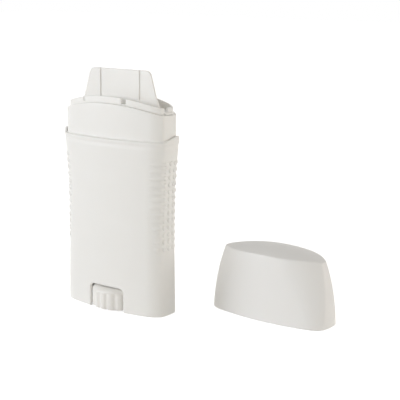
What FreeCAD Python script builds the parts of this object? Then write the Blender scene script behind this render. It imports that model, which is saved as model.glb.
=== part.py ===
"""Empty twist-up deodorant stick container, with its cap standing beside it.

Five injection mouldings in polypropylene: the case, the dial with its spindle, the platform that the
product sits on, the inner seal with its pull tab, and the cap.

Millimetres. +Z is up, +X runs along the wide side of the oval and -Y is the front. The origin is on the
case's own axis, in the plane that its base stands on.
"""
import FreeCAD, Part
import math
import os

Vector = FreeCAD.Vector
Z_AXIS = Vector(0, 0, 1)
Y_AXIS = Vector(0, 1, 0)

# ---- oval plan, shared by every moulding -------------------------------------------------------------
LONG_OVER_WIDTH = 45.0       # how much larger the faces' radius is than the shoulder's width
END_OVER_HALF_DEPTH = 0.7    # and the ends' radius than half its depth
CORNER_RADIUS = 5.5          # where they meet

# ---- case --------------------------------------------------------------------------------------------
SHOULDER_WIDTH, SHOULDER_DEPTH = 67.0, 26.6
SHOULDER_Z = 87.8            # the ledge that the cap closes on
WAIST_IN_X, WAIST_IN_Y = 2.6, 1.3        # how far the waist stands in from the shoulder, each side
BASE_IN_X, BASE_IN_Y = 2.0, 0.9          # and the base
WAIST_Z = 46.0
FLARE_POWER = 2.6            # how late the sides spread towards the shoulder
WAIST_BANDS, FLARE_BANDS = 4, 8          # bands of the wall below and above the waist
FOOT_EDGE = 0.5              # rounding round the standing rim
SHOULDER_EDGE = 0.7          # rounding of the shoulder's outer edge

NECK_INSET = 1.7             # ledge width round the neck
NECK_CROWN = 17.2            # neck height above the ledge, at the middle
RIM_RADIUS = 112.0           # the rim is arched along X
RIM_EDGE = 0.4               # chamfer of the rim's outer edge

NECK_WALL = 1.35             # neck wall at the rim, round the inner seal
BORE_INSET_X, BORE_INSET_Y = 0.8, 0.3    # how much narrower the barrel's bore is than the seal's seat
SEAT_DEPTH = 1.0             # seat's step below the plug wall

FLOOR_Z = 12.6               # underside of the floor above the dial
FLOOR_THICKNESS = 1.6
SKIRT_WALL = 1.6
COLLAR_RADIUS = 6.4
COLLAR_HEIGHT = 3.0

WINDOW_WIDTH = 22.4
WINDOW_TOP = 12.3
WINDOW_CORNER = 2.5
WINDOW_BEVEL = 1.1           # sloping edge round the window, on the outside

# ---- dial and spindle --------------------------------------------------------------------------------
DIAL_RADIUS = 15.0
DIAL_BOTTOM = 0.8
DIAL_TOP_GAP = 0.6           # wheel below the window's upper edge
DIAL_SHOULDER = 4.4          # rounding of its upper edge
SHOULDER_FLATS = 3           # flats that make up that rounding
THRUST_RADIUS = 8.0          # raised face that bears on the floor
DIAL_WALL = 1.5
DIAL_CORE_BEVEL = 3.2        # inside corner of the hollow underneath
DIAL_HUB_RADIUS = 4.8
DIAL_RIBS = 6
DIAL_RIB_WIDTH = 1.2
FLUTE_COUNT = 20
FLUTE_RADIUS = 1.5
FLUTE_DEPTH = 0.75

JOURNAL_RADIUS = 4.4
RUNNING_CLEARANCE = 0.08     # journal in the collar, spindle in the platform's hub
SNAP_RADIUS = 5.0            # ring that holds the spindle down
SNAP_HEIGHT = 1.6
END_PLAY = 0.3
SPINDLE_RADIUS = 3.4
SPINDLE_TIP = 0.8            # chamfer of its upper end
SPINDLE_TOP_GAP = 1.0        # below the seal's plug

# ---- platform ----------------------------------------------------------------------------------------
PLATFORM_CLEARANCE = 0.3     # to the bore wall, each side, at the lowest position
PLATFORM_THICKNESS = 1.4
PLATFORM_WALL = 1.2
PLATFORM_WALL_UP = 2.4
PLATFORM_WALL_DOWN = 1.6
HUB_WALL = 1.5
HUB_UP = 9.0
ANCHOR_RIB = 1.2             # thickness of the ribs that key into the product
ANCHOR_HEIGHT = 4.5

# ---- inner seal --------------------------------------------------------------------------------------
SEAL_CLEARANCE = 0.15        # plug wall to bore, each side
SEAL_WALL = 1.1
SEAL_ABOVE_RIM = 3.3
SEAL_ARCH = 105.0            # its upper edge is arched a little more than the rim
SEAL_DEPTH = 3.0             # how far the plug wall reaches down from the rim's lowest point
DOME_ABOVE_RIM = 1.2
DOME_OVER_HALF_DEPTH = 3.4   # how much larger its radius across Y is than half the neck's depth
DOME_THICKNESS = 1.2
DOME_BANDS = 8               # bands that make up each crowned surface
LUG_WIDTH, LUG_OUT, LUG_HEIGHT = 6.0, 0.8, 1.0
LUG_GAP = 0.1
SIDE_NOTCHES = (             # in the lip, front and back: width, depth, distance from the middle
    (3.0, 2.8, 10.0),
    (1.6, 2.2, -15.8),
)
END_NOTCH_WIDTH, END_NOTCH_DEPTH, END_NOTCH_Y = 2.6, 2.2, 1.6
NOTCH_REACH = 0.6            # how far the notches are cut past the lip, on the inside

TAB_ABOVE_RIM = 16.1
TAB_TOP_WIDTH, TAB_FOOT_WIDTH = 38.4, 49.7
TAB_THICKNESS = 1.2
TAB_CORNER = 2.4
TAB_ROOT = 2.0               # size of the hollow rounding at its foot
TAB_RIB_X = 12.6
TAB_RIB_WIDTH, TAB_RIB_PROUD = 1.0, 1.1

# ---- cap ---------------------------------------------------------------------------------------------
CAP_CENTRE = (71.9, 32.9)
CAP_TURN = -2.0
CAP_HEIGHT = 36.3
CAP_WALL = 1.0
CAP_OVERHANG = 0.2           # beyond the shoulder, each side
CAP_END_LEAN = 9.0           # how far each end leans in at the top
CAP_LEAN_POWER = 2.3         # how late it does so
CAP_FACE_LEAN = 0.3          # how far each face leans in, evenly
CAP_BANDS = 12
CAP_CROWN_X, CAP_CROWN_Y = 104.0, 36.0
CAP_TOP_CORNER = 2.2
CAP_FOOT_EDGE = 0.7          # rounding round the open end

# ---- sizes that follow -------------------------------------------------------------------------------
LONG_RADIUS = SHOULDER_WIDTH + LONG_OVER_WIDTH           # front and back faces
END_RADIUS = SHOULDER_DEPTH / 2 + END_OVER_HALF_DEPTH    # the two narrow ends
WAIST_WIDTH, WAIST_DEPTH = SHOULDER_WIDTH - 2 * WAIST_IN_X, SHOULDER_DEPTH - 2 * WAIST_IN_Y
BASE_WIDTH, BASE_DEPTH = SHOULDER_WIDTH - 2 * BASE_IN_X, SHOULDER_DEPTH - 2 * BASE_IN_Y
FLOOR_TOP = FLOOR_Z + FLOOR_THICKNESS
RIM_TOP = SHOULDER_Z + NECK_CROWN
NECK_WIDTH = SHOULDER_WIDTH - 2 * NECK_INSET
NECK_DEPTH = SHOULDER_DEPTH - 2 * NECK_INSET
RIM_END_DROP = RIM_RADIUS - math.sqrt(RIM_RADIUS ** 2 - (NECK_WIDTH / 2) ** 2)
RIM_LOW = RIM_TOP - RIM_END_DROP
SEAT_FLOOR = RIM_LOW - SEAL_DEPTH - SEAT_DEPTH
COLLAR_TOP = FLOOR_TOP + COLLAR_HEIGHT
SNAP_Z = COLLAR_TOP + END_PLAY
PLATFORM_Z = SNAP_Z + SNAP_HEIGHT + END_PLAY + PLATFORM_WALL_DOWN
DOME_TOP = RIM_TOP + DOME_ABOVE_RIM
DOME_RADIUS = NECK_DEPTH / 2 + DOME_OVER_HALF_DEPTH
TAB_FOOT_Z = RIM_LOW + DOME_THICKNESS
TAB_TOP = RIM_TOP + TAB_ABOVE_RIM
SPINDLE_TOP = RIM_LOW - SEAL_DEPTH - SPINDLE_TOP_GAP


def oval(width, depth, z, inset=0.0, corner=CORNER_RADIUS):
    """Closed wire of eight tangent arcs: two long sides, two ends and four corners."""
    half_w, half_d = width / 2 - inset, depth / 2 - inset
    long_r, end_r, corner_r = LONG_RADIUS - inset, END_RADIUS - inset, corner - inset
    long_c = (0.0, half_d - long_r)
    end_c = (half_w - end_r, 0.0)
    reach_long, reach_end = long_r - corner_r, end_r - corner_r
    dx, dy = end_c[0] - long_c[0], end_c[1] - long_c[1]
    apart = math.hypot(dx, dy)
    along = (reach_long ** 2 - reach_end ** 2 + apart ** 2) / (2 * apart)
    side = math.sqrt(reach_long ** 2 - along ** 2)
    corner_x = long_c[0] + (along * dx + side * dy) / apart
    corner_y = long_c[1] + (along * dy - side * dx) / apart

    def from_corner(angle):
        return corner_x + corner_r * math.cos(angle), corner_y + corner_r * math.sin(angle)

    long_angle = math.atan2(corner_y - long_c[1], corner_x - long_c[0])
    end_angle = math.atan2(corner_y - end_c[1], corner_x - end_c[0])
    long_x, long_y = from_corner(long_angle)
    mid_x, mid_y = from_corner((long_angle + end_angle) / 2)
    end_x, end_y = from_corner(end_angle)

    def arc(*points):
        return Part.Arc(*[Vector(x, y, z) for x, y in points]).toShape()

    edges = [
        arc((-long_x, long_y), (0, half_d), (long_x, long_y)),
        arc((long_x, long_y), (mid_x, mid_y), (end_x, end_y)),
        arc((end_x, end_y), (half_w, 0), (end_x, -end_y)),
        arc((end_x, -end_y), (mid_x, -mid_y), (long_x, -long_y)),
        arc((long_x, -long_y), (0, -half_d), (-long_x, -long_y)),
        arc((-long_x, -long_y), (-mid_x, -mid_y), (-end_x, -end_y)),
        arc((-end_x, -end_y), (-half_w, 0), (-end_x, end_y)),
        arc((-end_x, end_y), (-mid_x, mid_y), (-long_x, long_y)),
    ]
    return Part.Wire(edges)


def loft(wires):
    """Solid through closed wires, in straight bands from one to the next."""
    return Part.makeLoft(wires, True, True)


def tower(section, levels, foot_edge=0.0, top_edge=0.0):
    """Loft of section(z, inset) through the levels, with its foot and top edges rounded off in flats."""
    low, high = levels[0], levels[-1]
    turns = [math.radians(a) for a in (45, 90)]
    foot = [section(low + foot_edge * (1 - math.sin(t)), foot_edge * (1 - math.cos(t)))
            for t in reversed(turns) if foot_edge]
    top = [section(high - top_edge * (1 - math.sin(t)), top_edge * (1 - math.cos(t)))
           for t in turns if top_edge]
    wall = [section(z, 0.0) for z in [low + foot_edge] + levels[1:-1] + [high - top_edge]]
    return loft(foot + wall + top)


def levels_between(low, high, bands):
    return [low + (high - low) * i / bands for i in range(bands + 1)]


def prism(wire, height):
    return Part.Face(wire).extrude(Vector(0, 0, height))


def box(x0, x1, y0, y1, z0, z1):
    return Part.makeBox(x1 - x0, y1 - y0, z1 - z0, Vector(x0, y0, z0))


def cylinder(radius, z0, z1, x=0.0, y=0.0):
    return Part.makeCylinder(radius, z1 - z0, Vector(x, y, z0))


def under_arch(top, radius):
    """Everything below a surface arched along X: a wide drum lying along Y."""
    reach = SHOULDER_DEPTH
    drum = Part.makeCylinder(radius, 2 * reach, Vector(0, -reach, top - radius), Y_AXIS)
    drum.rotate(Vector(0, 0, top - radius), Y_AXIS, 180)     # turns its seam to the underside
    return drum


def swung(points, top, radius_x):
    """Solid of a (y, z) outline swung along X about a level axis, radius_x below the top."""
    outline = [Vector(0, y, z) for y, z in points]
    face = Part.Face(Part.makePolygon(outline + outline[:1]))
    hinge = Vector(0, 0, top - radius_x)
    swing = 30.0
    face.rotate(hinge, Y_AXIS, -swing)
    return face.revolve(hinge, Y_AXIS, 2 * swing)


def under_dome(top, radius_x, radius_y, half):
    """Everything close below a surface crowned both ways, in DOME_BANDS bands across its half depths."""
    crown = [half * (2 * i / DOME_BANDS - 1) for i in range(DOME_BANDS + 1)]
    points = [(y, top - radius_y + math.sqrt(radius_y ** 2 - y ** 2)) for y in crown]
    low = top - radius_x / 2
    return swung(points + [(half, low), (-half, low)], top, radius_x)


def top_edges(shape):
    """The edges round the face that holds the shape's highest point."""
    top = max(shape.Faces, key=lambda f: f.BoundBox.ZMax)
    return top.OuterWire.Edges


def level_edges(shape, z, tolerance=0.01):
    """The edges that lie wholly at one height."""
    return [e for e in shape.Edges
            if abs(e.BoundBox.ZMin - z) < tolerance and abs(e.BoundBox.ZMax - z) < tolerance]


def bore_section(z, inset=0.0):
    """The barrel's bore, in which the platform slides."""
    width = NECK_WIDTH - 2 * (NECK_WALL + BORE_INSET_X)
    depth = NECK_DEPTH - 2 * (NECK_WALL + BORE_INSET_Y)
    return oval(width, depth, z, inset)


def seat_section(z, inset=0.0):
    """The wider bore of the neck, in which the inner seal sits."""
    return oval(NECK_WIDTH - 2 * NECK_WALL, NECK_DEPTH - 2 * NECK_WALL, z, inset)


def case_section(z, inset=0.0):
    """The case's outside: waisted below, spreading late and fast towards the shoulder."""
    if z <= WAIST_Z:
        share = 0.5 - 0.5 * math.cos(math.pi * z / WAIST_Z)
        width = BASE_WIDTH + (WAIST_WIDTH - BASE_WIDTH) * share
        depth = BASE_DEPTH + (WAIST_DEPTH - BASE_DEPTH) * share
    else:
        share = ((z - WAIST_Z) / (SHOULDER_Z - WAIST_Z)) ** FLARE_POWER
        width = WAIST_WIDTH + (SHOULDER_WIDTH - WAIST_WIDTH) * share
        depth = WAIST_DEPTH + (SHOULDER_DEPTH - WAIST_DEPTH) * share
    return oval(width, depth, z, inset)


def make_case():
    levels = levels_between(0.0, WAIST_Z, WAIST_BANDS) + levels_between(WAIST_Z, SHOULDER_Z, FLARE_BANDS)[1:]
    body = tower(case_section, levels, FOOT_EDGE, SHOULDER_EDGE)
    neck = prism(oval(NECK_WIDTH, NECK_DEPTH, SHOULDER_Z - 1.0), 2 * NECK_CROWN)
    neck = neck.common(under_arch(RIM_TOP, RIM_RADIUS))
    body = body.fuse(neck.makeChamfer(RIM_EDGE, top_edges(neck)))
    bore = prism(bore_section(FLOOR_TOP), RIM_TOP)
    seat = prism(seat_section(SEAT_FLOOR), RIM_TOP)
    skirt = prism(oval(BASE_WIDTH, BASE_DEPTH, -1.0, SKIRT_WALL), FLOOR_Z + 1.0)
    collar = cylinder(COLLAR_RADIUS, FLOOR_TOP - 0.5, COLLAR_TOP)
    hole = cylinder(JOURNAL_RADIUS + RUNNING_CLEARANCE, FLOOR_Z - 1.0, COLLAR_TOP + 1.0)
    return body.cut([bore, seat, skirt]).fuse(collar).cut([hole, make_windows()])


def window_outline(y, grow=0.0):
    """The dial's window: open at the bottom, with round upper corners."""
    half, top, r = WINDOW_WIDTH / 2 + grow, WINDOW_TOP + grow, WINDOW_CORNER + grow
    bulge = r * (1 - math.sqrt(0.5))
    low = -1.0

    def at(x, z):
        return Vector(x, y, z)

    edges = [
        Part.makeLine(at(-half, low), at(-half, top - r)),
        Part.Arc(at(-half, top - r), at(-half + bulge, top - bulge), at(-half + r, top)).toShape(),
        Part.makeLine(at(-half + r, top), at(half - r, top)),
        Part.Arc(at(half - r, top), at(half - bulge, top - bulge), at(half, top - r)).toShape(),
        Part.makeLine(at(half, top - r), at(half, low)),
        Part.makeLine(at(half, low), at(-half, low)),
    ]
    return Part.Wire(edges)


def make_windows():
    """One cut through both walls of the skirt, with a bevel on the outside of each."""
    face_y = BASE_DEPTH / 2
    through = Part.Face(window_outline(-2 * face_y)).extrude(Vector(0, 4 * face_y, 0))
    bevels = [loft([window_outline(side * (face_y - WINDOW_BEVEL)),
                    window_outline(side * (face_y + WINDOW_BEVEL), 2 * WINDOW_BEVEL)])
              for side in (-1, 1)]
    return through.fuse(bevels)


def make_wheel(top):
    """A disc with a rounded upper shoulder, in flats."""
    turns = [math.pi / 2 * i / SHOULDER_FLATS for i in range(SHOULDER_FLATS + 1)]
    points = [Vector(DIAL_RADIUS - DIAL_SHOULDER * (1 - math.cos(t)), 0,
                     top - DIAL_SHOULDER * (1 - math.sin(t))) for t in turns]
    outline = [Vector(0, 0, DIAL_BOTTOM), Vector(DIAL_RADIUS, 0, DIAL_BOTTOM)] + points + [Vector(0, 0, top)]
    return Part.Face(Part.makePolygon(outline + outline[:1])).revolve(Vector(), Z_AXIS, 360)


def make_dial():
    """The hand wheel and the spindle, one moulding."""
    top = WINDOW_TOP - DIAL_TOP_GAP
    wheel = make_wheel(top)
    core_top = top - DIAL_WALL
    core = cylinder(DIAL_RADIUS - FLUTE_DEPTH - DIAL_WALL, DIAL_BOTTOM - 1.0, core_top)
    core = core.makeChamfer(DIAL_CORE_BEVEL, level_edges(core, core_top))
    core = core.cut(cylinder(DIAL_HUB_RADIUS, DIAL_BOTTOM - 1.0, core_top))
    for i in range(DIAL_RIBS):
        rib = box(0, DIAL_RADIUS, -DIAL_RIB_WIDTH / 2, DIAL_RIB_WIDTH / 2, DIAL_BOTTOM + 1.5, top)
        rib.rotate(Vector(), Z_AXIS, 360.0 / DIAL_RIBS * i)
        core = core.cut(rib)
    flutes = []
    for i in range(FLUTE_COUNT):
        angle = 2 * math.pi * (i + 0.5) / FLUTE_COUNT
        far = DIAL_RADIUS + FLUTE_RADIUS - FLUTE_DEPTH
        flutes.append(cylinder(FLUTE_RADIUS, DIAL_BOTTOM - 1.0, top - DIAL_SHOULDER,
                               far * math.cos(angle), far * math.sin(angle)))
    wheel = wheel.cut([core] + flutes)
    thrust = cylinder(THRUST_RADIUS, top - 0.5, FLOOR_Z - END_PLAY)
    journal = cylinder(JOURNAL_RADIUS, top - 0.5, SNAP_Z + 0.1)
    snap = Part.makeCone(SNAP_RADIUS, SPINDLE_RADIUS, SNAP_HEIGHT, Vector(0, 0, SNAP_Z))
    spindle = cylinder(SPINDLE_RADIUS, SNAP_Z, SPINDLE_TOP)
    spindle = spindle.makeChamfer(SPINDLE_TIP, level_edges(spindle, SPINDLE_TOP))
    return wheel.fuse([thrust, journal, snap, spindle]).removeSplitter()


def make_platform():
    """The elevator: an oval plate with a low wall, a hub on the spindle and ribs that key the product."""
    low = PLATFORM_Z - PLATFORM_WALL_DOWN
    height = PLATFORM_WALL_DOWN + PLATFORM_THICKNESS + PLATFORM_WALL_UP
    rim = prism(bore_section(low, PLATFORM_CLEARANCE), height)
    rim = rim.cut(prism(bore_section(low - 1, PLATFORM_CLEARANCE + PLATFORM_WALL), height + 2))
    plate = prism(bore_section(PLATFORM_Z, PLATFORM_CLEARANCE), PLATFORM_THICKNESS)
    hub = cylinder(SPINDLE_RADIUS + RUNNING_CLEARANCE + HUB_WALL, PLATFORM_Z, PLATFORM_Z + HUB_UP)
    box_at = PLATFORM_Z + PLATFORM_THICKNESS / 2
    rib_top = PLATFORM_Z + ANCHOR_HEIGHT
    end = NECK_WIDTH / 2 - NECK_WALL - BORE_INSET_X - PLATFORM_CLEARANCE - PLATFORM_WALL / 2
    side = NECK_DEPTH / 2 - NECK_WALL - BORE_INSET_Y - PLATFORM_CLEARANCE - PLATFORM_WALL - ANCHOR_RIB
    ribs = [box(-end, end, -ANCHOR_RIB / 2, ANCHOR_RIB / 2, box_at, rib_top)]
    for x in (-end / 2, 0, end / 2):
        ribs.append(box(x - ANCHOR_RIB / 2, x + ANCHOR_RIB / 2, -side, side, box_at, rib_top))
    hole = cylinder(SPINDLE_RADIUS + RUNNING_CLEARANCE, low - 1, PLATFORM_Z + HUB_UP + 1)
    return plate.fuse([rim, hub] + ribs).cut(hole).removeSplitter()


def make_seal():
    """The seal under the cap: a plug with a domed lid, and a pull tab standing on its crown."""
    bottom = RIM_LOW - SEAL_DEPTH
    height = RIM_TOP + SEAL_ABOVE_RIM - bottom
    half = NECK_DEPTH / 2
    plug = prism(seat_section(bottom, SEAL_CLEARANCE), height)
    core = prism(seat_section(bottom - 1, SEAL_CLEARANCE + SEAL_WALL), height + 2)
    ring = plug.cut(core).common(under_arch(RIM_TOP + SEAL_ABOVE_RIM, SEAL_ARCH))
    hollow = under_dome(DOME_TOP - DOME_THICKNESS, RIM_RADIUS - DOME_THICKNESS, DOME_RADIUS, half)
    lid = plug.common(under_dome(DOME_TOP, RIM_RADIUS, DOME_RADIUS, half))
    seal = lid.fuse([make_tab(), make_tab_root()] + make_tab_ribs()).cut(hollow)
    seal = seal.fuse([ring, make_lug(-1), make_lug(1)])
    return seal.cut(make_notches()).removeSplitter()


def lip_top(x):
    """Height of the seal's lip at x."""
    return RIM_TOP + SEAL_ABOVE_RIM - SEAL_ARCH + math.sqrt(SEAL_ARCH ** 2 - x ** 2)


def make_notches():
    """Gaps in the seal's lip; half a turn brings them onto themselves."""
    top = RIM_TOP + SEAL_ABOVE_RIM
    inward = NECK_WALL + SEAL_WALL + NOTCH_REACH
    lip_x, lip_y = NECK_WIDTH / 2 - inward, NECK_DEPTH / 2 - inward
    cuts = [box(x - width / 2, x + width / 2, -NECK_DEPTH / 2, -lip_y, lip_top(x) - depth, top)
            for width, depth, x in SIDE_NOTCHES]
    end_low = lip_top(lip_x) - END_NOTCH_DEPTH
    cuts.append(box(lip_x, NECK_WIDTH / 2, -END_NOTCH_Y - END_NOTCH_WIDTH / 2,
                    -END_NOTCH_Y + END_NOTCH_WIDTH / 2, end_low, top))
    opposite = [cut.copy() for cut in cuts]
    for cut in opposite:
        cut.rotate(Vector(), Z_AXIS, 180)
    return cuts + opposite


def make_lug(side):
    """A small lug at each end, by which the seal hangs on the rim."""
    outer = NECK_WIDTH / 2 - NECK_WALL + LUG_OUT
    inner = NECK_WIDTH / 2 - NECK_WALL - SEAL_WALL
    x0, x1 = sorted((side * inner, side * outer))
    lug = box(x0, x1, -LUG_WIDTH / 2, LUG_WIDTH / 2, RIM_LOW - LUG_HEIGHT, RIM_TOP)
    lug = lug.common(under_arch(RIM_TOP + LUG_GAP + LUG_HEIGHT, RIM_RADIUS + LUG_GAP + LUG_HEIGHT))
    return lug.cut(under_arch(RIM_TOP + LUG_GAP, RIM_RADIUS + LUG_GAP))


def make_tab():
    """Upright plate on the centre plane, narrower at the top."""
    half_top, half_foot = TAB_TOP_WIDTH / 2, TAB_FOOT_WIDTH / 2
    y = -TAB_THICKNESS / 2
    outline = Part.makePolygon([Vector(-half_foot, y, TAB_FOOT_Z), Vector(-half_top, y, TAB_TOP),
                                Vector(half_top, y, TAB_TOP), Vector(half_foot, y, TAB_FOOT_Z),
                                Vector(-half_foot, y, TAB_FOOT_Z)])
    plate = Part.Face(outline).extrude(Vector(0, TAB_THICKNESS, 0))
    corners = [e for e in plate.Edges
               if abs(e.BoundBox.ZMin - TAB_TOP) < 0.01 and e.BoundBox.YLength > TAB_THICKNESS / 2
               and e.BoundBox.XLength < 0.01]
    return plate.makeFillet(TAB_CORNER, corners)


def make_tab_root():
    """Hollow rounding, in flats, from the tab's faces down to the dome, following the dome's arch."""
    face = TAB_THICKNESS / 2
    slope = [(face + TAB_ROOT * (1 - math.sin(t)), DOME_TOP + TAB_ROOT * (1 - math.cos(t)))
             for t in map(math.radians, (0, 30, 60, 90))]
    points = slope + [(-y, z) for y, z in reversed(slope)]
    low = DOME_TOP - DOME_THICKNESS / 2
    root = swung(points + [(-slope[0][0], low), (slope[0][0], low)], DOME_TOP, RIM_RADIUS)
    half = TAB_FOOT_WIDTH / 2
    return root.common(box(-half, half, -DOME_RADIUS, DOME_RADIUS, TAB_FOOT_Z, TAB_TOP))


def make_tab_ribs():
    """Two upright ribs on the tab, proud of both its faces."""
    proud = TAB_THICKNESS / 2 + TAB_RIB_PROUD
    return [box(x - TAB_RIB_WIDTH / 2, x + TAB_RIB_WIDTH / 2, -proud, proud, TAB_FOOT_Z, TAB_TOP)
            for x in (-TAB_RIB_X, TAB_RIB_X)]


def cap_section(z, inset=0.0):
    share = z / CAP_HEIGHT
    width = SHOULDER_WIDTH + 2 * CAP_OVERHANG - 2 * CAP_END_LEAN * share ** CAP_LEAN_POWER
    depth = SHOULDER_DEPTH + 2 * CAP_OVERHANG - 2 * CAP_FACE_LEAN * share
    corner = CORNER_RADIUS + (CAP_TOP_CORNER + inset - CORNER_RADIUS) * share
    return oval(width, depth, z, inset, corner)


def make_cap():
    """A deep cover with the same plan as the shoulder, leaning in as it rises to a crowned top."""
    levels = levels_between(0.0, CAP_HEIGHT, CAP_BANDS)
    half = SHOULDER_DEPTH / 2
    body = tower(cap_section, levels, CAP_FOOT_EDGE)
    body = body.common(under_dome(CAP_HEIGHT, CAP_CROWN_X, CAP_CROWN_Y, half))
    hollow = loft([cap_section(z, CAP_WALL) for z in levels])
    hollow = hollow.common(under_dome(CAP_HEIGHT - CAP_WALL, CAP_CROWN_X - CAP_WALL, CAP_CROWN_Y, half))
    cap = body.cut(hollow)
    cap.rotate(Vector(), Z_AXIS, CAP_TURN)
    cap.translate(Vector(CAP_CENTRE[0], CAP_CENTRE[1], 0))
    return cap


def main():
    os.makedirs("parts", exist_ok=True)
    makers = {
        "case": make_case,
        "dial_spindle": make_dial,
        "platform": make_platform,
        "inner_seal": make_seal,
        "cap": make_cap,
    }
    for name, make in makers.items():
        shape = make()
        print(name, shape.isValid(), "solids", len(shape.Solids), "faces", len(shape.Faces),
              "volume", round(shape.Volume, 1), "triangles", len(shape.tessellate(0.05)[1]))
        shape.exportStep(f"parts/{name}.step")


if __name__ == "__main__":
    main()
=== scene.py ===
"""Empty oval twist-up deodorant stick container in white polypropylene, its cap standing beside it.

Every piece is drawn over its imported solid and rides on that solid's body. Metres, +Z up, +X along the
wide side of the oval, -Y to the front, origin on the case's axis where it stands.
"""

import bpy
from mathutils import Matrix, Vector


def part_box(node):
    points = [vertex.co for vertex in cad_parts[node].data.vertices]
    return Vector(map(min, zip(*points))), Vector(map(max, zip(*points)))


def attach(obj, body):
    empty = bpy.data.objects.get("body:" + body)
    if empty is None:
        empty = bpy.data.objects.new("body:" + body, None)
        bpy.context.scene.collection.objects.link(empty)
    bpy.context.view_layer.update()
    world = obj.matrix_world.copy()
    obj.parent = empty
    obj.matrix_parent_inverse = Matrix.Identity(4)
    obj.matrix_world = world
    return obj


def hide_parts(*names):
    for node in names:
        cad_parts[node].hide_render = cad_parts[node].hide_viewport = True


bl_info = {
    "name": "Stick Container",
    "version": (1, 0, 0),
    "blender": (4, 5, 0),
    "location": "3D View > Sidebar > Container",
    "description": "Builds a twist-up stick container with its cap beside it",
    "category": "Mesh",
}

import math

import bmesh
import bpy
from bpy.props import (FloatProperty, FloatVectorProperty, IntProperty, PointerProperty,
                       StringProperty)
from mathutils import Matrix, Vector

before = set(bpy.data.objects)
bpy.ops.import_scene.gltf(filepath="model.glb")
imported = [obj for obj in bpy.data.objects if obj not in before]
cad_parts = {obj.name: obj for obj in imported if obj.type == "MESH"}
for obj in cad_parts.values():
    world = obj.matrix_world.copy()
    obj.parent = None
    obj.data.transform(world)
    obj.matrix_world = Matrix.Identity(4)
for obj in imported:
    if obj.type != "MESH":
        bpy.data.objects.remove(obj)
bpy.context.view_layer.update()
CASE_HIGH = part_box("case")[1]
SEAL_LOW, SEAL_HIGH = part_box("inner_seal")
DIAL_LOW, DIAL_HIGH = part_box("dial_spindle")
CAP_LOW, CAP_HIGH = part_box("cap")

MM = 0.001
END_STEPS, CORNER_STEPS, BEND_STEPS, LONG_STEPS = 8, 5, 12, 14    # quads along the arcs of a quarter plan


# ---- sizes and colours -----------------------------------------------------------------------------

def length(name, description, default):
    return FloatProperty(name=name, description=description, default=default, unit="LENGTH", precision=5)


def angle(name, description, degrees):
    return FloatProperty(name=name, description=description, default=math.radians(degrees),
                         subtype="ANGLE", unit="ROTATION")


def plan_size(name, description, default):
    return FloatVectorProperty(name=name, description=description + ": width and depth", default=default,
                               size=2, subtype="XYZ_LENGTH", unit="LENGTH", precision=5)


def notch_size(name, description, default):
    return FloatVectorProperty(name=name, description=description + ": place, width and depth",
                               default=default, subtype="XYZ_LENGTH", unit="LENGTH", precision=5)


def share(name, description, default):
    return FloatProperty(name=name, description=description, default=default, min=0.0, max=1.0,
                         subtype="FACTOR")


def point(name, description, default):
    return FloatVectorProperty(name=name, description=description, default=default,
                               subtype="TRANSLATION", unit="LENGTH")


def power(name, description, default):
    return FloatProperty(name=name, description=description, default=default, min=0.0, unit="POWER")


def light_colour(name, description, default):
    return FloatVectorProperty(name=name, description=description, default=default, min=0.0, max=1.0,
                               subtype="COLOR")


def hex_colour(name, description, default):
    return StringProperty(name=name, description=description + ", as sRGB hex", default=default)


class PlanSizes(bpy.types.PropertyGroup):
    """The oval plan that every moulding shares."""
    long_radius: length("Face radius", "Radius of the front and back faces", 112.0 * MM)
    bend_radius: length("Bend radius", "Radius by which a face turns in towards an end", 12.0 * MM)
    end_radius: length("End radius", "Radius of the two narrow ends", 25.0 * MM)
    end_part: share("End part", "Width of an end against the whole depth", 0.44)
    corner_reach: length("Corner reach", "How far a corner's rounding reaches along each arc", 0.8 * MM)


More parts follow.
